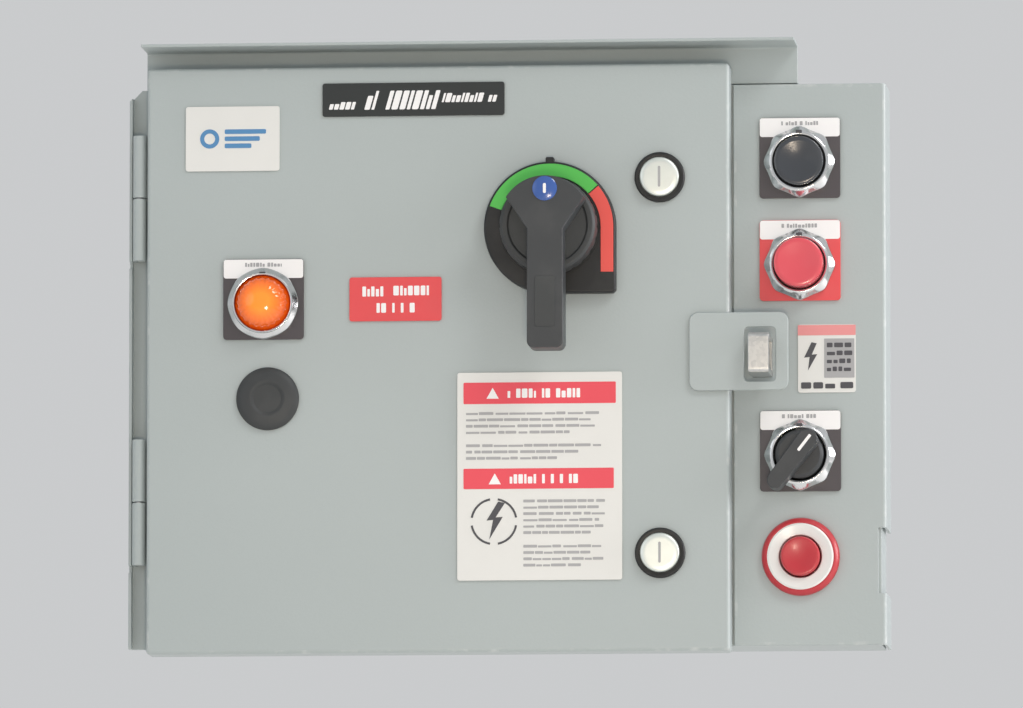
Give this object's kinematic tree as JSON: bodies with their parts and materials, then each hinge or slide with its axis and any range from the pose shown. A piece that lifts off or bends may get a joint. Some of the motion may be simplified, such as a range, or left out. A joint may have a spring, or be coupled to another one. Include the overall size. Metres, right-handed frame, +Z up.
{
  "type": "enclosed variable frequency drive",
  "caption": "Steel enclosure for a variable frequency drive, with hinged door, rotary disconnect handle, pilot light, latches and a side strip of push buttons and a selector.",
  "frame": {"origin": "on the outer face of the enclosure's back wall, level with the middle of the door and midway across the unit's width", "axes": "+X to the right as the front shows it, -Y out of the front, +Z up"},
  "size_m": [0.3612, 0.2003, 0.2907],
  "materials": {
    "painted_steel": "light grey textured powder coat",
    "zinc_plate": "zinc plated",
    "bright_steel": "bright drawn",
    "chrome": "polished",
    "satin_nickel": "satin nickel plate",
    "extruded_aluminium": "extruded, mill finish",
    "nickelled_brass": "nickel-plated brass",
    "black_plastic": "moulded, satin",
    "dark_grey_plastic": "moulded, fine texture",
    "light_grey_plastic": "moulded",
    "blue_window": "gloss",
    "amber_lens": "translucent, fluted inside",
    "red_plastic": "gloss",
    "white_plastic": "satin",
    "label_film": "printed film",
    "legend_laminate": "engraved laminate",
    "foam_rubber": "closed-cell foam"
  },
  "bodies": {
    "enclosure": {"enclosure_tub": "painted_steel", "enclosure_front_frame": "painted_steel", "left_flange": "painted_steel", "control_strip_cover": "painted_steel", "drip_hood": "painted_steel", "hinge_frame_leaf_upper": "zinc_plate", "hinge_frame_leaf_lower": "zinc_plate", "hinge_pin_upper": "bright_steel", "hinge_pin_lower": "bright_steel", "hasp_staple": "zinc_plate", "circuit_breaker": "dark_grey_plastic", "start_legend_plate": "legend_laminate", "start_bezel": "chrome", "start_contact_block": "dark_grey_plastic", "stop_legend_plate": "red_plastic", "stop_bezel": "chrome", "stop_contact_block": "dark_grey_plastic", "selector_legend_plate": "legend_laminate", "selector_bezel": "chrome", "selector_contact_block": "dark_grey_plastic", "reset_bezel": "white_plastic", "reset_contact_block": "dark_grey_plastic", "mounting_plate": "zinc_plate", "drive_heatsink": "extruded_aluminium", "drive_housing": "dark_grey_plastic", "drive_keypad": "light_grey_plastic", "fan_frame": "black_plastic", "din_rail": "zinc_plate", "terminal_block": "light_grey_plastic", "line_cable_gland": "nickelled_brass", "motor_cable_gland": "nickelled_brass"},
    "door": {"door": "painted_steel", "door_gasket": "foam_rubber", "hinge_door_leaf_upper": "zinc_plate", "hinge_door_leaf_lower": "zinc_plate", "latch_housing_upper": "black_plastic", "latch_housing_lower": "black_plastic", "hasp_strap": "painted_steel", "handle_escutcheon": "black_plastic", "pilot_legend_plate": "legend_laminate", "pilot_bezel": "chrome", "pilot_lens": "amber_lens", "pilot_lamp_body": "dark_grey_plastic", "hole_plug": "black_plastic", "title_label": "black_plastic", "rating_label": "red_plastic", "warning_label": "label_film"},
    "handle": {"handle_lever": "black_plastic", "handle_pointer_window": "blue_window", "handle_coupling": "black_plastic"},
    "shaft": {"operating_shaft": "bright_steel"},
    "latch_upper": {"latch_head_upper": "satin_nickel", "latch_cam_upper": "zinc_plate"},
    "latch_lower": {"latch_head_lower": "satin_nickel", "latch_cam_lower": "zinc_plate"},
    "start_button": {"start_button": "black_plastic"},
    "stop_button": {"stop_button": "red_plastic"},
    "selector_knob": {"selector_knob": "black_plastic"},
    "reset_button": {"reset_button": "red_plastic"},
    "fan_rotor": {"fan_rotor": "black_plastic"}
  },
  "joints": [
    {"name": "door_hinge", "type": "hinge", "parent": "enclosure", "child": "door", "pos_m": [-0.1752, -0.16, 0], "axis": [0, 0, -1], "range_deg": [0, 110]},
    {"name": "handle_turn", "type": "hinge", "parent": "door", "child": "handle", "pos_m": [0.022, -0.166, 0.0615], "axis": [0, 1, 0], "range_deg": [-30, 90]},
    {"name": "shaft_turn", "type": "hinge", "parent": "enclosure", "child": "shaft", "pos_m": [0.022, -0.0868, 0.0615], "axis": [0, 1, 0], "range_deg": [-30, 90]},
    {"name": "latch_upper_turn", "type": "hinge", "parent": "door", "child": "latch_upper", "pos_m": [0.074, -0.166, 0.0854], "axis": [0, -1, 0], "range_deg": [0, 90]},
    {"name": "latch_lower_turn", "type": "hinge", "parent": "door", "child": "latch_lower", "pos_m": [0.074, -0.166, -0.0935], "axis": [0, -1, 0], "range_deg": [0, 90]},
    {"name": "start_press", "type": "slide", "parent": "enclosure", "child": "start_button", "axis": [0, 1, 0], "range_m": [0, 0.005], "stiffness_N_per_m": 600, "springref_m": -0.003},
    {"name": "stop_press", "type": "slide", "parent": "enclosure", "child": "stop_button", "axis": [0, 1, 0], "range_m": [0, 0.005], "stiffness_N_per_m": 600, "springref_m": -0.003},
    {"name": "selector_turn", "type": "hinge", "parent": "enclosure", "child": "selector_knob", "pos_m": [0.1397, -0.1518, -0.0465], "axis": [0, -1, 0], "range_deg": [0, 76]},
    {"name": "reset_press", "type": "slide", "parent": "enclosure", "child": "reset_button", "axis": [0, 1, 0], "range_m": [0, 0.004], "stiffness_N_per_m": 600, "springref_m": -0.003},
    {"name": "fan_spin", "type": "hinge", "parent": "enclosure", "child": "fan_rotor", "pos_m": [-0.091, -0.031, -0.0657], "axis": [0, 0, 1], "continuous": true}
  ],
  "couplings": [
    {"joint": "shaft_turn", "follows": "handle_turn", "ratio": 1}
  ]
}
